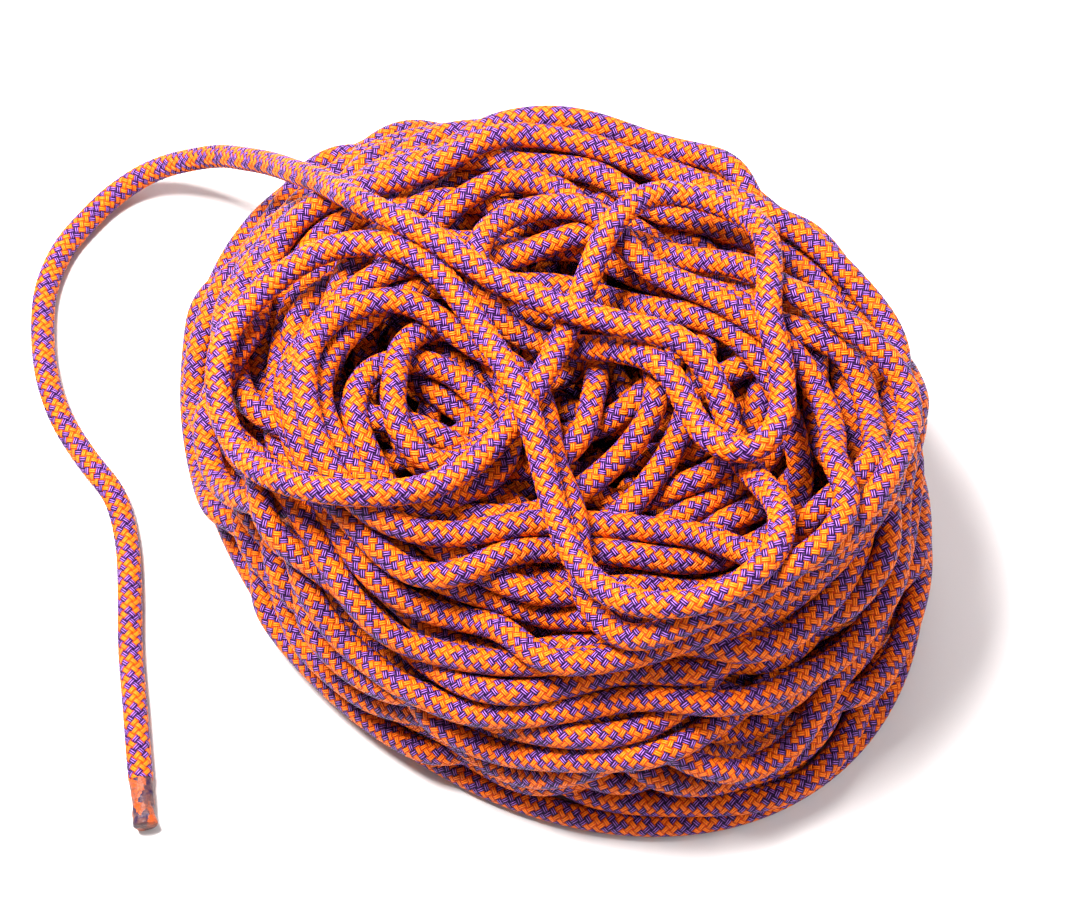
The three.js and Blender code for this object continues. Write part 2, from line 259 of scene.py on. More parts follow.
# Each loose stretch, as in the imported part: x, y and how many ropes high it lies.
LOOSE_ROUTES = {
    "right_loop": (
        (40, 11, 1), (49, 2, 1), (54, -12, 1), (61, -28, 1.6), (69, -39, 2.05),
        (77, -41, 2.1), (83, -31, 1.9), (86, -13, 1.2), (85, 8, 1), (81, 26, 1),
        (82, 48, 1), (81, 66, 1), (73, 81, 1), (60, 89, 1), (45, 92, 1),
    ),
    "left_loop": (
        (31, 82, 1), (19, 68, 1), (10, 48, 1), (2, 30, 1), (-6, 13, 1), (-15, -4, 1),
        (-29, -22, 1), (-48, -38, 1), (-72, -45, 1), (-97, -42, 1), (-119, -28, 0.85),
        (-133, -6, 0.55), (-137, 17, 0.45), (-132, 41, 0.5), (-116, 58, 0.8), (-94, 66, 1),
        (-72, 64, 1), (-53, 54, 1), (-40, 40, 1.05), (-30, 24, 1.5), (-21, 8, 2),
        (-14, -9, 2),
    ),
    "front_bight": (
        (-8, -28, 1.4), (-2, -50, 1), (7, -71, 1.05), (22, -86, 1), (44, -92, 0.9),
        (66, -86, 0.9), (80, -72, 0.95), (83, -55, 1), (78, -40, 1),
    ),
    "crossing_stretch": (
        (70, -24, 1), (65, -9, 1.1), (60, 3, 1.6), (54, 12, 2), (46, 19, 2.1), (30, 24, 2),
        (11, 30, 2), (-9, 38, 2), (-32, 49, 2), (-53, 63, 2), (-70, 74, 1.6),
        (-83, 86, 1.05),
    ),
    "free_sheath": (
        (-91, 97, 0.94), (-98, 107, 0.86), (-106, 118, 0.78), (-114, 129, 0.69),
        (-122, 140, 0.6), (-131, 151, 0.5), (-141, 161, 0.41), (-152, 171, 0.32),
        (-162, 177, 0.24), (-173, 181, 0.18), (-183, 183, 0.12), (-194, 182, 0.08),
        (-203, 178, 0.04), (-211, 172, 0), (-221, 160, 0), (-230, 146, 0), (-236, 125, 0),
        (-236, 104, 0), (-232, 80, 0), (-223, 57, 0), (-210, 37, 0), (-197, 20, 0),
        (-190, -2, 0), (-187, -26, 0), (-185, -52, 0), (-181, -80, 0), (-177, -108, 0),
        (-173, -133, 0),
    ),
}


# ---- laying the rope


class Heap:
    """Rope laid down a little at a time: it rolls into the nearest groove and sags."""

    CHUNK, LAG, LOOK = 50, 10, 12  # points laid at once, laid again and looked ahead
    ROLLS = (-3.0, -1.5, 0.0, 1.5, 3.0)
    LAST_ROLLS = (-1.0, -0.5, 0.0, 0.5, 1.0)
    ROUNDS = 5
    ROLL_COST = 0.006  # height that a roll is worth, for each square millimetre
    SOFTNESS = 0.5  # height difference that makes one groove clearly the better
    ROLL_FADE = 18.0  # points over which the last roll dies away
    HANG_REACH = 12
    AIR, SINK = 0.6, 0.5
    STEP_FADE = 8.0  # points over which a step in height dies away

    def __init__(self, outline: Outline, bend: float) -> None:
        self.outline, self.bend = outline, bend
        self.field = HeightField()
        self.plan, self.line = np.zeros((0, 2)), np.zeros((0, 3))
        self.rise = self.reach = self.offset = np.zeros(0)
        self.done = self.laid = 0

    def feed(self, plan: Array, rise: Array, reach: float, flush: bool = False) -> None:
        """Adds a stretch of the plan and lays what can be laid, or all of it to flush.

        rise is the outline's height there, from 0 to 1, and reach how far rope may roll.
        """
        self.plan = np.vstack([self.plan, plan])
        self.rise = np.concatenate([self.rise, rise])
        self.reach = np.concatenate([self.reach, np.full(len(plan), reach)])
        count = len(self.plan)
        self.offset = np.concatenate([self.offset, np.zeros(count - len(self.offset))])
        self.line = np.vstack([self.line, np.zeros((count - len(self.line), 3))])
        while count - self.done >= self.CHUNK + self.LOOK or (flush and self.done < count):
            self._solve(min(self.done + self.CHUNK, count), count)

    def length(self) -> float:
        """The length of rope laid so far."""
        return float(along(self.line[: self.done])[-1]) if self.done > 1 else 0.0

    def _solve(self, end: int, count: int) -> None:
        """Finds where the next points come to rest, and lays the ones that are settled."""
        start = self.done
        first = max(start - self.LAG, 0)
        index = np.arange(first, min(end + self.LOOK, count))
        fixed = index < start
        low, high = max(first - 2, 0), min(index[-1] + 3, count)
        heading = np.gradient(self.plan[low:high], axis=0)
        heading /= np.linalg.norm(heading, axis=1)[:, None] + 1e-9
        heading = heading[first - low : first - low + len(index)]
        side = np.stack([-heading[:, 1], heading[:, 0]], 1)
        offset = self._roll(index, fixed, side, start)
        places = self.plan[index] + side * offset[:, None]
        places = self.outline.hold(places, self.rise[index])
        rest = self.field.rest(*places.T)
        rest[fixed] = self.line[index[fixed], 2]
        height = smooth(hang(rest + self.AIR, self.HANG_REACH, self.bend), 5, 2)
        height = smooth(np.maximum(height, rest - self.SINK), 3)
        if start > 0:
            held = int(fixed.sum())
            step = self.line[start - 1, 2] - height[held - 1]
            ahead = np.arange(len(height) - held) + 1
            height[held:] += step * np.exp(-ahead / self.STEP_FADE)
        new = (index >= start) & (index < end)
        self.offset[index[new]] = offset[new]
        self.line[index[new], :2] = places[new]
        self.line[index[new], 2] = height[new]
        self.done = end
        upto = max(end - self.LAG, 0) if end < count else count
        if upto > self.laid:
            self.field.lay(self.line[max(self.laid - 1, 0) : upto])
            self.laid = upto

    def _roll(self, index: Array, fixed: Array, side: Array, start: int) -> Array:
        """How far each point rolls to the side, down into a groove."""
        offset = self.offset[index].copy()
        if start > 0:
            ahead = index[~fixed] - start + 1
            offset[~fixed] = self.offset[start - 1] * np.exp(-ahead / self.ROLL_FADE)
        for rolls in (self.ROLLS,) * self.ROUNDS + (self.LAST_ROLLS,):
            heights = []
            for roll in rolls:
                places = self.plan[index] + side * (offset + roll)[:, None]
                heights.append(smooth(self.field.rest(*places.T), 7))
            tried = np.array(rolls)[:, None]
            cost = np.array(heights) + self.ROLL_COST * (offset[None] + tried) ** 2
            weight = np.exp(-(cost - cost.min(0)) / self.SOFTNESS)
            shift = (weight * tried).sum(0) / weight.sum(0)
            moved = np.clip(offset + shift, -self.reach[index], self.reach[index])
            moved[fixed] = offset[fixed]
            moved = smooth(moved, 5, 2)
            moved[fixed] = offset[fixed]
            offset = moved
        return offset


class Turn(NamedTuple):
    """One oval turn in the unit disc."""

    x: float
    y: float
    half: float
    squash: float
    heading: float


class RopeLayer:
    """Lays the whole rope, from the lower tail to the free stretch."""

    SEED = 2
    TRIES = 150
    TRY_EVERY = 3  # of a tried turn's points, one in so many is looked at
    TURN_POINTS = 120
    FIRST_TURN, TURN_START = Turn(0.0, 0.0, 0.97, 1.0, 0.0), -0.04
    LEAST_HALF, MOST_HALF = 0.3, 0.96
    LEAST_SQUASH, MOST_SQUASH = 0.6, 1.0
    MOST_TURNED = 1.2  # between the headings of two turns, in radians
    UNEVEN_COST, LENGTH_GAIN = 0.5, 0.004
    BEND = 1 / 22.0
    ROLL, TOP_ROLL = 18.0, 10.0
    LAST_POINTS = 30  # points of the top turns that roll less
    LOOSE_SLACK = 1.02  # the loose loops' length over their length seen from above
    LOOSE_BEND, LOOSE_REACH = 1 / 40.0, 14
    LOOSE_FADE = 8.0  # points over which the loops come to their own way
    LOOSE_ROUNDS = 9
    LOOSE_AIR, CROSSING_AIR = 0.3, 0.4
    NEIGHBOURS = 8  # points to each side that are not a crossing
    TOP_LINE = 144.9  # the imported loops' middle, where they lie one rope high

    def __init__(self) -> None:
        self.outline = Outline()
        self.heap = Heap(self.outline, self.BEND)
        self.random = np.random.default_rng(self.SEED)

    def lay(self) -> tuple[Array, list[tuple[str, int, int]]]:
        """The rope's line, and its stretches as names with first and last points."""
        top = curve_through(np.array(TOP_TURNS, float))
        loose, marks = self._loose_plan()
        slack = along(loose[:, :2])[-1] * self.LOOSE_SLACK
        turning = ROPE_LENGTH - along(top)[-1] - slack
        self._tail()
        self._turns(turning)
        heaped = len(self.heap.plan)
        self._top_turns(top)
        settled = self._settle(loose, marks[-1][0])
        line = np.vstack([self.heap.line, settled[1:]])
        begin = len(self.heap.line) - 1
        stretches = [("heap", 0, heaped), ("top_turns", heaped, begin)]
        for name, (a, b) in zip(LOOSE_ROUTES, marks):
            stretches.append((name, begin + a, begin + b))
        LOG.info("the rope's line is %.2f m", along(line)[-1] * METRE)
        return line, stretches

    def _tail(self) -> None:
        """The lower end's way over the floor to the first turn."""
        way = even(curve_through(np.array(TAIL_ROUTE, float)))
        self.heap.feed(way, np.zeros(len(way)), 0.0)

    def _path(self, before: Turn, after: Turn) -> Array:
        """A turn that goes clockwise from one oval into the next."""
        t = np.arange(self.TURN_POINTS) / self.TURN_POINTS
        blend = (t * t * (3 - 2 * t))[:, None]
        mixed = np.array(before) * (1 - blend) + np.array(after) * blend
        middle_x, middle_y, half, squash, heading = mixed.T
        angle = self.TURN_START - 2 * np.pi * t - heading
        x, y = half * np.cos(angle), half * squash * np.sin(angle)
        c, s = np.cos(heading), np.sin(heading)
        path = np.stack([middle_x + x * c - y * s, middle_y + x * s + y * c], 1)
        return path / np.maximum(np.hypot(*path.T), 1.0)[:, None]

    def _turns(self, wanted: float) -> None:
        """Lays turns, each where the heap is lowest, until they are that long."""
        turn, rise = self.FIRST_TURN, 0.0
        last = self.heap.plan[-1:]
        while self.heap.length() < wanted:
            best = None
            for _ in range(self.TRIES):
                after = self._another(turn)
                path = self._path(turn, after)
                way = self.outline.place(path, np.full(len(path), rise))
                rest = self.heap.field.rest(*way[:: self.TRY_EVERY].T)
                score = rest.mean() + self.UNEVEN_COST * rest.std()
                score -= self.LENGTH_GAIN * along(way)[-1]
                if best is None or score < best[0]:
                    best = (score, after, path)
            _, turn, path = best
            level = min(max(self.heap.field.level() / Outline.TOP_HEIGHT, 0.0), 1.0)
            rises = np.linspace(rise, level, len(path))
            way = even(np.vstack([last, self.outline.place(path, rises)]))[1:]
            self.heap.feed(way, np.linspace(rise, level, len(way)), self.ROLL)
            rise, last = level, way[-1:]

    def _another(self, turn: Turn) -> Turn:
        """A turn of another size and place, which keeps in the outline."""
        half = self.random.uniform(self.LEAST_HALF, self.MOST_HALF)
        away = (self.MOST_HALF - half) * math.sqrt(self.random.random())
        angle = self.random.uniform(0, 2 * math.pi)
        squash = self.random.uniform(self.LEAST_SQUASH, self.MOST_SQUASH)
        heading = turn.heading + self.random.uniform(-self.MOST_TURNED, self.MOST_TURNED)
        return Turn(away * math.cos(angle), away * math.sin(angle), half, squash, heading)

    def _top_turns(self, top: Array) -> None:
        """Lays the given last turns, joined to the turns below them."""
        joined = self._joined(self.heap.plan, top)
        first, last = joined[: -self.LAST_POINTS], joined[-self.LAST_POINTS :]
        self.heap.feed(first, np.ones(len(first)), self.TOP_ROLL)
        self.heap.feed(last, np.ones(len(last)), self.TOP_ROLL / 4)
        self.heap.feed(np.zeros((0, 2)), np.zeros(0), 0.0, flush=True)

    def _joined(self, laid: Array, way: Array) -> Array:
        """The way on from the last point laid, bent over gently to join the chosen way."""
        before, after = 4, CURVE_PARTS // 2
        ahead = way[2 * CURVE_PARTS : 3 * CURVE_PARTS : after]
        bridge = np.vstack([laid[-2 * before - 1 : -1 : before], laid[-1:], ahead])
        bridge = curve_through(bridge)[2 * CURVE_PARTS : -after]
        joined = even(np.vstack([bridge, way[2 * CURVE_PARTS + after + 1 :]]))
        return np.stack([smooth(column, 7) for column in joined.T], 1)[1:]

    def _loose_plan(self) -> tuple[Array, list[tuple[int, int]]]:
        """The loose loops' way and height in ropes, and each one's first and last point."""
        points = np.vstack([np.array(route, float) for route in LOOSE_ROUTES.values()])
        fine = curve_through(points)
        at = along(fine[:, :2])
        ends = np.cumsum([len(route) for route in LOOSE_ROUTES.values()]) - 1
        plan = even(fine)
        where = np.linspace(0, at[-1], len(plan))
        marks, begin = [], 0
        for end in ends:
            stop = int(np.searchsorted(where, at[min(end * CURVE_PARTS, len(at) - 1)]))
            marks.append((begin, min(stop, len(plan) - 1)))
            begin = marks[-1][1]
        marks[-1] = (marks[-1][0], len(plan) - 1)
        return plan, marks

    def _settle(self, plan: Array, free_start: int) -> Array:
        """Lays the loose loops on the heap and over one another, up to the free stretch."""
        fade = np.exp(-np.arange(len(plan)) / self.LOOSE_FADE)[:, None]
        places = plan[:, :2] + (self.heap.line[-1, :2] - plan[0, :2]) * fade
        rest = self.heap.field.rest(*places.T)
        number = np.arange(len(places))
        free = number >= free_start
        rest[free] = np.maximum(rest[free], plan[free, 2] * self.TOP_LINE)
        rest[plan[:, 2] <= 0.0] = ROPE_RADIUS
        gap = np.linalg.norm(places[:, None] - places[None], axis=2)
        apart = ROPE_DIAMETER + self.CROSSING_AIR
        over = (
            (np.abs(number[:, None] - number) > self.NEIGHBOURS)
            & (plan[:, None, 2] > plan[None, :, 2])
            & (gap < apart)
        )
        lift = np.sqrt(np.maximum(apart**2 - gap**2, 0.0))
        height = rest + self.LOOSE_AIR
        for _ in range(self.LOOSE_ROUNDS):
            needed = np.where(over, height[None] + lift, -np.inf).max(1)
            needed = np.maximum(needed, rest + self.LOOSE_AIR)
            sagged = hang(needed, self.LOOSE_REACH, self.LOOSE_BEND)
            height = np.where(free, needed, sagged)
            height = np.maximum(smooth(height, 7, 2), needed - self.LOOSE_AIR)
            height[0] = self.heap.line[-1, 2]
            height = smooth(height, 3)
        height = np.maximum(height, ROPE_RADIUS)
        return np.column_stack([places, height])


# ---- tubes


@dataclass
class Rings:
    """Where the rings of a tube go."""

    at: Array
    centre: Array
    heading: Array
    normal: Array

    def skin(self, sides: int, radius: Array) -> Array:
        """The points of every ring, with one radius for each point or each ring."""
        other = np.cross(self.heading, self.normal)
        angle = (np.arange(sides) / sides * 2 * np.pi)[:, None]
        spoke = self.normal[:, None] * np.cos(angle) + other[:, None] * np.sin(angle)
        return self.centre[:, None] + spoke * np.asarray(radius)[..., None]


class Spine:
    """The rope's whole line, with a normal that is carried along it without twist."""

    LEAST_BEND = 21.0  # radius that sharp bends are let out to
    ROUNDS, WINDOW = 60, 5

    def __init__(self, line: Array) -> None:
        soft = np.stack([smooth(column, 3) for column in line.T], 1)
        soft[0], soft[-1] = line[0], line[-1]
        self.line = even(self._eased(even(soft)))
        self.at = along(self.line)
        self.length = float(self.at[-1])
        self.heading = unit(np.gradient(self.line, axis=0))
        self.normal = self._carry()

    def _eased(self, line: Array) -> Array:
        """The line with its few sharp bends let out, as far as the rounds go."""
        for _ in range(self.ROUNDS):
            step = unit(np.diff(line, axis=0))
            turn = np.zeros(len(line))
            turn[1:-1] = np.arccos(np.clip((step[1:] * step[:-1]).sum(1), -1, 1))
            sharp = turn > STEP / self.LEAST_BEND
            near = np.convolve(sharp, np.ones(self.WINDOW), mode="same") > 0
            near[[0, -1]] = False
            middle = line.copy()
            middle[1:-1] = (line[:-2] + line[2:]) / 4 + line[1:-1] / 2
            line = np.where(near[:, None], middle, line)
            line[:, 2] = np.maximum(line[:, 2], ROPE_RADIUS)
        return line

    def _carry(self) -> Array:
        """The normal at each of the line's points."""
        normal = np.zeros_like(self.line)
        now = np.cross(self.heading[0], [0.0, 0.0, 1.0])
        now /= np.linalg.norm(now)
        for k, heading in enumerate(self.heading):
            now = now - heading * (now @ heading)
            now /= np.linalg.norm(now)
            normal[k] = now
        return normal

    def rings(self, start: float, end: float, step: float) -> Rings:
        """Places for rings between two lengths along the rope."""
        count = max(int(round((end - start) / step)), 2)
        return self.rings_at(np.linspace(start, end, count + 1))

    def rings_at(self, at: Array) -> Rings:
        """Places for rings at these lengths along the rope."""
        index = np.clip(np.searchsorted(self.at, at, side="right") - 1, 0, len(self.at) - 2)
        t = ((at - self.at[index]) / (self.at[index + 1] - self.at[index]))[:, None]
        chord = self.line[index + 1] - self.line[index]
        span = np.linalg.norm(chord, axis=1)[:, None]
        p, q = self.line[index], self.line[index + 1]
        u, v = self.heading[index] * span, self.heading[index + 1] * span
        centre = (
            (2 * t**3 - 3 * t**2 + 1) * p
            + (t**3 - 2 * t**2 + t) * u
            + (3 * t**2 - 2 * t**3) * q
            + (t**3 - t**2) * v
        )
        heading = unit(self.heading[index] * (1 - t) + self.heading[index + 1] * t)
        normal = self.normal[index] * (1 - t) + self.normal[index + 1] * t
        normal = unit(normal - heading * (normal * heading).sum(1)[:, None])
        return Rings(at, centre, heading, normal)


def braid_height(at: Array, sides: int) -> Array:
    """How far the braid stands out at each point of each ring, from 0 to 1."""
    x = np.arange(sides)[None] / sides * BRAID_STRANDS
    y = at[:, None] / BRAID_UNIT
    a, b = x + y, x - y
    fa, fb = a - np.floor(a), b - np.floor(b)
    crossing = (np.floor(a) + np.floor(b)) % 2 < 0.5
    across = np.abs(np.where(crossing, fb, fa) - 0.5)
    length = np.abs(np.where(crossing, fa, fb) - 0.5)
    beside = across > FLOAT_WIDTH / 2
    side = np.where(beside, length, across) / (FLOAT_WIDTH / 2)
    reach = np.where(beside, 1.0 - across, length) / FLOAT_REACH
    ridge = np.sqrt(np.clip(1 - (2 * side - 1) ** 2, 0, 1))
    ends = np.sqrt(np.clip(1 - reach**3, 0, 1))
    pair = np.sqrt(np.clip(1 - side**4, 0, 1))
    return (ridge * 0.6 + 0.4) * ends * pair


class TubeMesh:
    """A tube built ring by ring, with the rope's own map and one to bake to."""

    ROPE_MAP, BAKE_MAP = "rope", "OFBake"
    ROW_EDGE, MAP_EDGE = 0.02, 0.001  # left free round each row and round the map

    def __init__(self, name: str, rings: Rings, skin: Array, row: float = 0.0) -> None:
        count, sides = skin.shape[:2]
        self.name, self.rings = name, rings
        grid = np.arange(count * sides).reshape(count, sides)
        turned = np.roll(grid, -1, axis=1)
        quads = np.stack([grid[:-1], turned[:-1], turned[1:], grid[1:]], -1).reshape(-1, 4)
        mesh = bpy.data.meshes.new(name)
        mesh.vertices.add(count * sides)
        mesh.vertices.foreach_set("co", (skin * METRE).astype(np.float32).ravel())
        caps = [grid[0][::-1], grid[-1]]
        sizes = np.concatenate([np.full(len(quads), 4), [sides, sides]])
        loops = np.concatenate([quads.ravel(), *caps])
        mesh.loops.add(len(loops))
        mesh.loops.foreach_set("vertex_index", loops.astype(np.int32))
        mesh.polygons.add(len(sizes))
        starts = np.concatenate([[0], np.cumsum(sizes)[:-1]])
        mesh.polygons.foreach_set("loop_start", starts.astype(np.int32))
        mesh.update(calc_edges=True)
        mesh.validate()
        mesh.polygons.foreach_set("use_smooth", np.ones(len(mesh.polygons), bool))
        self._maps(mesh, count, sides, row)
        self.object = bpy.data.objects.new(name, mesh)
        bpy.context.scene.collection.objects.link(self.object)

    def _maps(self, mesh: bpy.types.Mesh, count: int, sides: int, row: float) -> None:
        """Writes the rope's map, length by way round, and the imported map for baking."""
        at = self.rings.at
        ring = np.repeat(np.arange(count - 1), sides)
        side = np.tile(np.arange(sides), count - 1)
        rings = np.stack([ring, ring, ring + 1, ring + 1], 1)
        turns = np.stack([side, side + 1, side + 1, side], 1) / sides
        rope = np.stack([at[rings] * METRE, turns], -1).reshape(-1, 2)
        angle = np.arange(sides) / sides
        caps = [np.stack([np.full(sides, at[0] * METRE), angle[::-1]], 1)]
        caps.append(np.stack([np.full(sides, at[-1] * METRE), angle], 1))
        rope = np.concatenate([rope, *caps])
        layer = mesh.uv_layers.new(name=self.ROPE_MAP)
        layer.data.foreach_set("uv", rope.astype(np.float32).ravel())
        mesh.uv_layers.active = layer
        layer.active_render = True
        if row <= 0:
            return
        steps = max(int(row), 1)
        rows = int(math.ceil((count - 1) / steps))
        quad_row = (ring // steps)[:, None]
        u = (rings - quad_row * steps) / steps
        v = (quad_row + self.ROW_EDGE + (1 - 2 * self.ROW_EDGE) * turns) / rows
        u = u * (1 - 2 * self.MAP_EDGE) + self.MAP_EDGE
        corner = np.full((2 * sides, 2), self.MAP_EDGE / 2)
        packed = np.concatenate([np.stack([u, v], -1).reshape(-1, 2), corner])
        bake = mesh.uv_layers.new(name=self.BAKE_MAP)
        bake.data.foreach_set("uv", packed.astype(np.float32).ravel())
        mesh.uv_layers.active = mesh.uv_layers[self.ROPE_MAP]


# ---- materials


class Value:
    """A shader value or colour. Values can be added, multiplied and compared as numbers."""

    def __init__(self, tree: bpy.types.NodeTree, socket: bpy.types.NodeSocket) -> None:
        self.tree, self.socket = tree, socket

    @classmethod
    def plain(cls, tree: bpy.types.NodeTree, colour: tuple[float, ...]) -> "Value":
        """One colour everywhere."""
        node = tree.nodes.new("ShaderNodeRGB")
        node.outputs[0].default_value = (*colour, 1.0)
        return cls(tree, node.outputs[0])

    def _math(self, operation: str, *others: "Value | float") -> "Value":
        """One node that works on this value and the others."""
        node = self.tree.nodes.new("ShaderNodeMath")
        node.operation = operation
        for index, value in enumerate((self, *others)):
            if isinstance(value, Value):
                self.tree.links.new(value.socket, node.inputs[index])
            else:
                node.inputs[index].default_value = value
        return Value(self.tree, node.outputs[0])

    __add__ = partialmethod(_math, "ADD")
    __sub__ = partialmethod(_math, "SUBTRACT")
    __mul__ = partialmethod(_math, "MULTIPLY")
    floor = partialmethod(_math, "FLOOR")
    modulo = partialmethod(_math, "FLOORED_MODULO")
    below = partialmethod(_math, "LESS_THAN")  # 1 where it is, and 0 elsewhere
    power = partialmethod(_math, "POWER")
    absolute = partialmethod(_math, "ABSOLUTE")

    def flipped(self) -> "Value":
        """One less this value."""
        return self * -1.0 + 1.0

    def clipped(self) -> "Value":
        """Kept from 0 to 1."""
        return self._math("MAXIMUM", 0.0)._math("MINIMUM", 1.0)

    def pick(self, yes: "Value", no: "Value") -> "Value":
        """yes where this is 1 and no where it is 0."""
        return self * (yes - no) + no

    def colour(self, low: tuple[float, ...], high: tuple[float, ...]) -> "Value":
        """From one colour at 0 to another at 1."""
        return Value.plain(self.tree, low).toward(Value.plain(self.tree, high), self)

    def _mixed(self, other: "Value", blend: str) -> bpy.types.Node:
        """A node that blends another colour over this one."""
        node = self.tree.nodes.new("ShaderNodeMix")
        node.data_type, node.blend_type = "RGBA", blend
        node.inputs[0].default_value = 1.0
        self.tree.links.new(self.socket, node.inputs[6])
        self.tree.links.new(other.socket, node.inputs[7])
        return node

    def toward(self, other: "Value", factor: "Value") -> "Value":
        """This colour where the factor is 0, and the other where it is 1."""
        node = self._mixed(other, "MIX")
        self.tree.links.new(factor.socket, node.inputs[0])
        return Value(self.tree, node.outputs[2])

    def times(self, shade: "Value") -> "Value":
        """This colour, darker where the shade is below 1."""
        return Value(self.tree, self._mixed(shade, "MULTIPLY").outputs[2])


class RopeMaterial:
    """A material of the rope, with the noise and bump that each of them uses."""

    def __init__(self, name: str, finish: Finish) -> None:
        self.material = bpy.data.materials.new(name)
        self.material.use_nodes = True
        self.finish = finish
        self.tree = self.material.node_tree
        self.shader = self.tree.nodes["Principled BSDF"]

    def where(self, name: str) -> tuple[Value, Value]:
        """The length along the rope in metres, and the way round it from 0 to 1."""
        node = self.tree.nodes.new("ShaderNodeUVMap")
        node.uv_map = name
        split = self.tree.nodes.new("ShaderNodeSeparateXYZ")
        self.tree.links.new(node.outputs[0], split.inputs[0])
        return Value(self.tree, split.outputs[0]), Value(self.tree, split.outputs[1])

    def noise(self, scale: float, detail: float = 2.0) -> Value:
        """Noise in the object's own space, about 0.5."""
        place = self.tree.nodes.new("ShaderNodeTexCoord")
        node = self.tree.nodes.new("ShaderNodeTexNoise")
        node.inputs["Scale"].default_value = scale
        node.inputs["Detail"].default_value = detail
        self.tree.links.new(place.outputs["Object"], node.inputs["Vector"])
        return Value(self.tree, node.outputs[0])

    def speckle(self, x: Value, y: Value) -> Value:
        """One random value from 0 to 1 for each pair of whole numbers."""
        join = self.tree.nodes.new("ShaderNodeCombineXYZ")
        node = self.tree.nodes.new("ShaderNodeTexWhiteNoise")
        node.noise_dimensions = "2D"
        self.tree.links.new(x.socket, join.inputs[0])
        self.tree.links.new(y.socket, join.inputs[1])
        self.tree.links.new(join.outputs[0], node.inputs["Vector"])
        return Value(self.tree, node.outputs["Value"])

    def bump(self, height: Value, distance: float) -> None:
        """Makes the surface stand out by that many metres where height is 1."""
        node = self.tree.nodes.new("ShaderNodeBump")
        node.inputs["Distance"].default_value = distance
        node.inputs["Strength"].default_value = 1.0
        self.tree.links.new(height.socket, node.inputs["Height"])
        self.tree.links.new(node.outputs[0], self.shader.inputs["Normal"])

    def gloss(self, refraction: float, level: float) -> None:
        """Sets how strongly the surface shines."""
        self.shader.inputs["IOR"].default_value = refraction
        self.shader.inputs["Specular IOR Level"].default_value = level

    def link(self, value: Value, name: str) -> None:
        """Feeds a value to the surface."""
        self.tree.links.new(value.socket, self.shader.inputs[name])


class BraidMaterial(RopeMaterial):
    """The sheath: strands of two yarns each, violet and orange by twos both ways round,
    with painted shade in the hollows between the yarns and painted highlights on their
    tops.
    """

    # painted light and shade: the orange is lit yellow on the yarns' tops and shaded red in
    # the hollows between them
    ORANGE, ORANGE_DEEP = (0.95, 0.195, 0.005), (0.86, 0.060, 0.002)
    # the first colour is a painted highlight along each violet yarn's top; the second is
    # the yarns' own dark violet
    VIOLET, VIOLET_DEEP = (0.46, 0.19, 0.78), (0.022, 0.001, 0.060)
    RIDGE = 0.65  # share of a strand's height that is its yarns' own roundness
    HIGHLIGHT_NARROWNESS = 10.0  # how narrow the painted highlight along each violet yarn is
    TINT = 0.24  # how far the strands differ in brightness
    DULL, GLOSSY = 0.60, 0.34  # roughness in the hollows and on the yarns' tops
    BUMP, FINE_BUMP = 0.0009, 0.0006

    def __init__(self, bumpy: bool) -> None:
        super().__init__("rope_braid" if bumpy else "rope_braid_fine", Finish.BRAID)
        along_rope, way = self.where(TubeMesh.ROPE_MAP)
        x, y = way * BRAID_STRANDS, along_rope * (1 / (BRAID_UNIT * METRE))
        a, b = x + y, x - y
        i, j = a.floor(), b.floor()
        crossing = (i + j).modulo(2.0).below(0.5)
        own = crossing.pick(i, j).modulo(COLOUR_REPEAT).below(LAST_VIOLET)
        part_a, part_b = a - i, b - j
        middle = crossing.pick(part_b, part_a) - 0.5
        across, length = middle.absolute(), (crossing.pick(part_a, part_b) - 0.5).absolute()
        within = across.below(FLOAT_WIDTH / 2)
        sign = middle.below(0.0) * -2.0 + 1.0
        next_one = (crossing.pick(j, i) + sign).modulo(COLOUR_REPEAT).below(LAST_VIOLET)
        violet = within.pick(own, next_one)
        side = within.pick(across, length) * (2 / FLOAT_WIDTH)
        reach = within.pick(length, across.flipped()) * (1 / FLOAT_REACH)
        yarn = side * 2.0 - 1.0
        round_yarn = (yarn * yarn).flipped().clipped()
        ends = reach.power(3.0).flipped().clipped().power(0.5)
        pair = side.power(4.0).flipped().clipped().power(0.5)
        strand = ends * pair
        height = (round_yarn.power(0.5) * self.RIDGE + (1 - self.RIDGE)) * strand
        # painted light and shade from the braid's height: bright on the yarns' tops, darker
        # in the hollows between them
        lit = (height.power(1.3) * 0.95 + 0.05).clipped()
        orange = lit.colour(self.ORANGE_DEEP, self.ORANGE)
        # a painted highlight along the top of each violet yarn
        painted_highlight = round_yarn.power(self.HIGHLIGHT_NARROWNESS) * strand.power(3.0)
        purple = painted_highlight.colour(self.VIOLET_DEEP, self.VIOLET)
        tint = self.speckle(i, j) * self.TINT + (1 - self.TINT / 2)
        # painted shade in the hollows between the yarns, times each strand's own random
        # tint
        shade = ((lit * 0.5 + 0.5) * tint).clipped()
        self.link(orange.toward(purple, violet).times(shade), "Base Color")
        self.link(lit * (self.GLOSSY - self.DULL) + self.DULL, "Roughness")
        self.gloss(1.4, 0.22)
        self.bump(height, self.BUMP if bumpy else self.FINE_BUMP)


class CoreMaterial(RopeMaterial):
    """The undyed yarns inside."""

    def __init__(self) -> None:
        super().__init__("rope_core", Finish.CORE)
        grain = self.noise(900.0, 3.0)
        self.link(grain.colour((0.72, 0.70, 0.62), (0.86, 0.85, 0.80)), "Base Color")
        self.shader.inputs["Roughness"].default_value = 0.7
        self.bump(grain, 0.0003)


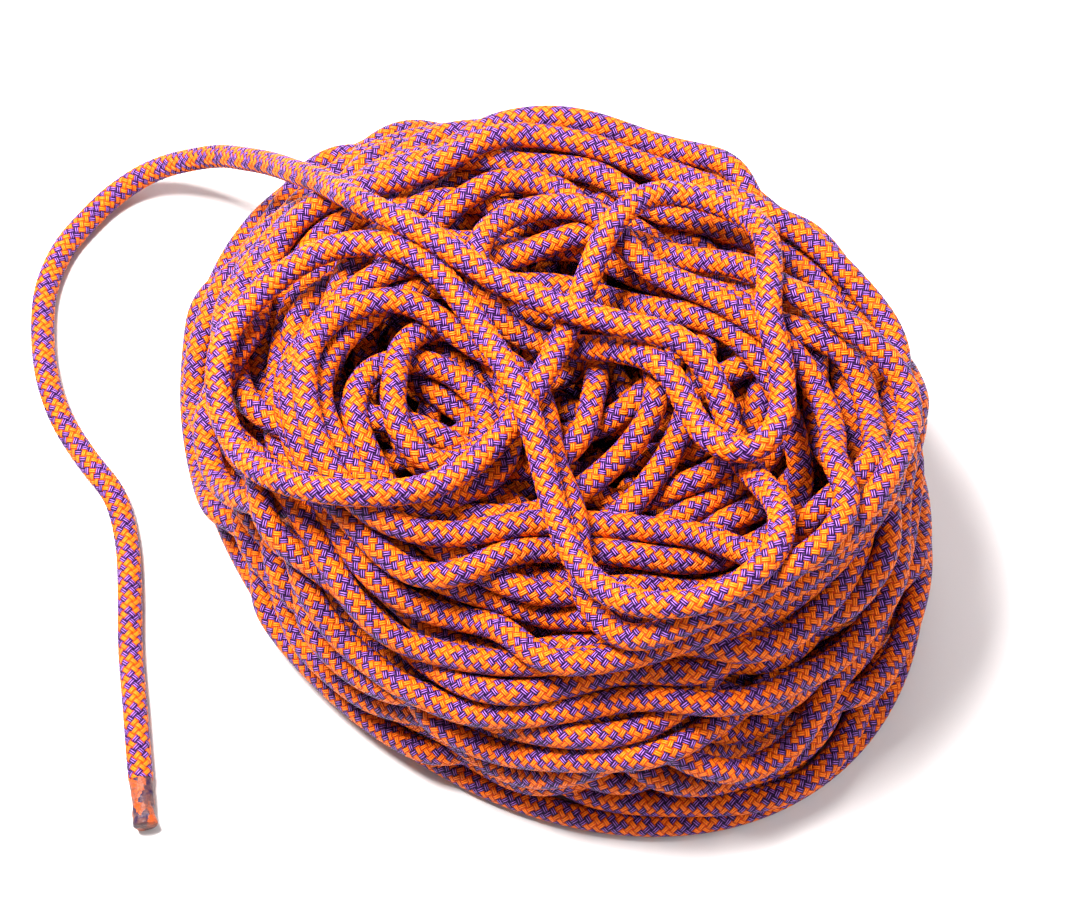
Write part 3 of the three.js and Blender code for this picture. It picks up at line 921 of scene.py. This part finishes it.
class FusedMaterial(RopeMaterial):
    """A melted end: what is left of both colours, run together and darkened."""

    AMBER, PLUM = (0.36, 0.055, 0.003), (0.014, 0.004, 0.03)
    DULL, BURNT = (0.11, 0.04, 0.028), (0.035, 0.02, 0.024)

    def __init__(self) -> None:
        super().__init__("rope_fused", Finish.FUSED)
        along_rope, way = self.where(TubeMesh.ROPE_MAP)
        coarse, fine = self.noise(260.0, 3.0), self.noise(900.0, 3.0)
        x = way * BRAID_STRANDS + coarse * 1.6
        y = along_rope * (0.5 / (BRAID_UNIT * METRE)) + fine * 0.8
        i, j = (x + y).floor(), (x - y).floor()
        crossing = (i + j).modulo(2.0).below(0.5)
        violet = crossing.pick(i, j).modulo(COLOUR_REPEAT).below(LAST_VIOLET)
        patches = ((coarse - 0.42) * 5.0).clipped() * 0.75
        specks = ((fine - 0.5) * 6.0).clipped() * 0.45
        base = violet.colour(self.AMBER, self.PLUM)
        for colour, amount in ((self.DULL, patches), (self.BURNT, specks)):
            base = base.toward(Value.plain(self.tree, colour), amount)
        self.link(base, "Base Color")
        self.link(fine * 0.3 + 0.32, "Roughness")
        self.gloss(1.3, 0.6)
        self.bump(coarse * 0.6 + fine * 0.4, 0.0012)


# ---- pieces


class RopeStretch:
    """One stretch of the sheath, with its braid as real relief where it is near."""

    FAR, NEAR = (3.0, 16), (0.75, 40)  # between rings, and points in a ring
    COILED = 2000.0  # length from which a stretch goes round the heap

    def __init__(
        self, name: str, spine: Spine, start: float, end: float, near: bool
    ) -> None:
        step, sides = self.NEAR if near else self.FAR
        rings = spine.rings(start, end, step)
        radius = np.full((len(rings.at), sides), ROPE_RADIUS)
        if near:
            swell = BRAID_RELIEF * BRAID_SWELL
            radius = radius - BRAID_RELIEF + swell * braid_height(rings.at, sides)
        row = math.sqrt((end - start) * 2 * math.pi * ROPE_RADIUS) / step
        self.object = TubeMesh(name, rings, rings.skin(sides, radius), row).object
        self.length, self.centre = end - start, rings.centre

    def declare(self, last: bool, pieces: tuple[bpy.types.Object, ...] = ()) -> None:
        """Does nothing with the stretch."""


class FusedEnd:
    """An end cut with heat: a short neck, a slight flare and a rounded, uneven tip."""

    SIDES = 40
    TIP = 0.86  # where the rings begin to crowd, of the end's length
    KNOTS = (0.0, 0.12, 0.3, 0.6, 0.8, 0.9, 0.96, 0.99, 1.0)
    SIZES = (5.1, 4.9, 4.65, 4.6, 4.8, 5.1, 5.1, 4.0, 1.2)  # the radius at each knot
    BAKE_ROW = 60

    def __init__(self, name: str, spine: Spine, at_start: bool) -> None:
        crowded = np.sin(np.linspace(0.05, 1.0, 16) * math.pi / 2)
        share = [np.linspace(0, self.TIP, 44), self.TIP + (1 - self.TIP) * crowded]
        share = np.concatenate(share)
        away = share * SEAL_LENGTH
        place = SEAL_LENGTH - away if at_start else spine.length - SEAL_LENGTH + away
        order = np.argsort(place)
        rings = spine.rings_at(place[order])
        radius = np.interp(share, self.KNOTS, self.SIZES)[order][:, None]
        angle = np.arange(self.SIDES) / self.SIDES * 2 * np.pi
        run = away[order][:, None]
        uneven = 0.16 * np.sin(3 * angle + run * 0.5)
        uneven = uneven + 0.1 * np.sin(5 * angle - run * 0.9 + 1)
        radius = radius * (1 + uneven * 0.28 * np.clip(run / 9.0, 0, 1))
        skin = rings.skin(self.SIDES, radius)
        self.object = TubeMesh(name, rings, skin, self.BAKE_ROW).object


class CoreStrand:
    """One strand of the core, inside the free stretch."""

    COUNT, RADIUS, RING = 7, 1.2, 2.6
    STEP, SIDES, TWIST = 3.0, 10, 0.06

    def __init__(self, number: int, spine: Spine, start: float, end: float) -> None:
        rings = spine.rings(start, end, self.STEP)
        turn = (number - 1) / (self.COUNT - 1) * 2 * np.pi + rings.at * self.TWIST
        out = 0.0 if number == self.COUNT else self.RING
        other = np.cross(rings.heading, rings.normal)
        rings.centre = rings.centre + out * (
            rings.normal * np.cos(turn)[:, None] + other * np.sin(turn)[:, None]
        )
        skin = rings.skin(self.SIDES, np.full((len(rings.at), self.SIDES), self.RADIUS))
        self.object = TubeMesh(f"rope_core_strand_{number}", rings, skin).object


class ClimbingRope:
    """The whole rope, built from its line."""

    HEAP_NODES = ("inner_turns", "inner_turns", "outer_turns", "outer_turns")
    TAIL_END = 90.0
    LAP = 1.0  # how far the sheath reaches over a fused end

    def __init__(self) -> None:
        self.braid, self.fine_braid = BraidMaterial(True), BraidMaterial(False)
        self.core, self.fused = CoreMaterial(), FusedMaterial()
        line, stretches = RopeLayer().lay()
        self.spine = Spine(line)
        at = along(line) * (self.spine.length / along(line)[-1])
        self.spans = {name: (float(at[a]), float(at[b])) for name, a, b in stretches}

    def build(self) -> None:
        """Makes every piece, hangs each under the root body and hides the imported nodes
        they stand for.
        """
        lower = FusedEnd("rope_lower_end_seal", self.spine, True)
        upper = FusedEnd("rope_free_end_seal", self.spine, False)
        self._place(lower.object, self.fused, "lower_end_seal")
        self._place(upper.object, self.fused, "free_end_seal")
        tail = self._sheath("lower_tail", SEAL_LENGTH - self.LAP, self.TAIL_END, True)
        self._place(tail.object, self.fine_braid, "lower_tail")
        tail.declare(False, (lower.object,))
        self._heap()
        free_end = self.spine.length - SEAL_LENGTH
        for name in LOOSE_ROUTES:
            start, end = self.spans[name]
            last = name == "free_sheath"
            piece = self._sheath(name, start, free_end + self.LAP if last else end, True)
            self._place(piece.object, self.fine_braid, name)
            piece.declare(last, (upper.object,) if last else ())
        for number in range(1, CoreStrand.COUNT + 1):
            strand = CoreStrand(number, self.spine, start, free_end)
            self._place(strand.object, self.core, f"core_strand_{number}")

    def _heap(self) -> None:
        """The heap's rope in stretches of one length, and its last turns."""
        edges = np.linspace(self.TAIL_END, self.spans["heap"][1], len(self.HEAP_NODES) + 1)
        parts = [
            (f"heap_{number + 1}", edges[number], edges[number + 1], node)
            for number, node in enumerate(self.HEAP_NODES)
        ]
        parts.append(("top_turns", *self.spans["top_turns"], "outer_turns"))
        for name, start, end, node in parts:
            piece = self._sheath(name, start, end, False)
            self._place(piece.object, self.braid, node)
            piece.declare(False)

    def _sheath(self, name: str, start: float, end: float, near: bool) -> RopeStretch:
        """The sheath from one length along the rope to another."""
        return RopeStretch(f"rope_{name}", self.spine, float(start), float(end), near)

    def _place(self, thing: bpy.types.Object, worn: RopeMaterial, node: str) -> None:
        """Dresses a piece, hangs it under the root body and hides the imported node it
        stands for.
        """
        thing.data.materials.append(worn.material)
        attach(thing, "root")
        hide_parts(node)


# ---- the studio


class Lamp(NamedTuple):
    """A soft square light."""

    name: str
    place: tuple[float, float, float]
    size: float
    power: float
    colour: tuple[float, float, float]


class Studio:
    """Camera, floor and lights."""

    ELEVATION = math.radians(64.0)
    CAMERA = (-0.008949, -0.461103, 1.037707)
    LENS = 85.83
    MIDDLE = (-0.03, 0.03, 0.08)
    LAMPS = (
        Lamp("key_light", (-0.46, 0.20, 1.30), 0.42, 74.0, (1.0, 0.96, 0.93)),
        Lamp("side_light", (0.9, -0.2, 0.9), 0.7, 9.0, (0.96, 0.97, 1.0)),
        Lamp("back_light", (0.1, 1.1, 0.9), 0.8, 8.0, (1.0, 0.98, 0.96)),
    )

    def camera(self) -> None:
        """The photograph's view: from above the near side, along +Y."""
        bpy.ops.object.camera_add(location=self.CAMERA)
        camera = bpy.context.object
        camera.name = "camera"
        camera.rotation_euler = (math.pi / 2 - self.ELEVATION, 0.0, 0.0)
        camera.data.lens = self.LENS
        camera.data.sensor_width = 36.0
        camera.data.clip_start, camera.data.clip_end = 0.05, 20.0
        bpy.context.scene.camera = camera

    def floor(self) -> None:
        """A plain pale floor."""
        bpy.ops.mesh.primitive_plane_add(size=12.0, location=(0.0, 0.0, 0.0))
        floor = bpy.context.object
        floor.name = "floor"
        material = bpy.data.materials.new("floor_paint")
        material.use_nodes = True
        surface = material.node_tree.nodes["Principled BSDF"]
        surface.inputs["Base Color"].default_value = (0.62, 0.62, 0.63, 1.0)
        surface.inputs["Roughness"].default_value = 0.8
        floor.data.materials.append(material)

    def lights(self) -> None:
        """Soft light from above on the left, filled from the right and the back."""
        world = bpy.data.worlds.new("studio")
        bpy.context.scene.world = world
        world.use_nodes = True
        sky = world.node_tree.nodes["Background"]
        sky.inputs[0].default_value = (1.0, 0.82, 0.77, 1.0)
        sky.inputs[1].default_value = 0.42
        for lamp in self.LAMPS:
            bpy.ops.object.light_add(type="AREA", location=lamp.place)
            light = bpy.context.object
            light.name = lamp.name
            light.data.size = lamp.size
            light.data.energy = lamp.power
            light.data.color = lamp.colour
            aim = Vector(self.MIDDLE) - Vector(lamp.place)
            light.rotation_euler = aim.to_track_quat("-Z", "Y").to_euler()
        bpy.context.scene.view_settings.view_transform = "Standard"
        bpy.context.scene.view_settings.look = "None"


def main() -> None:
    """Builds the rope and its studio."""
    logging.basicConfig(level=logging.INFO, format="%(name)s: %(message)s")
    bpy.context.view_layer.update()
    studio = Studio()
    studio.camera()
    ClimbingRope().build()
    studio.floor()
    studio.lights()


if __name__ == "__main__":
    main()
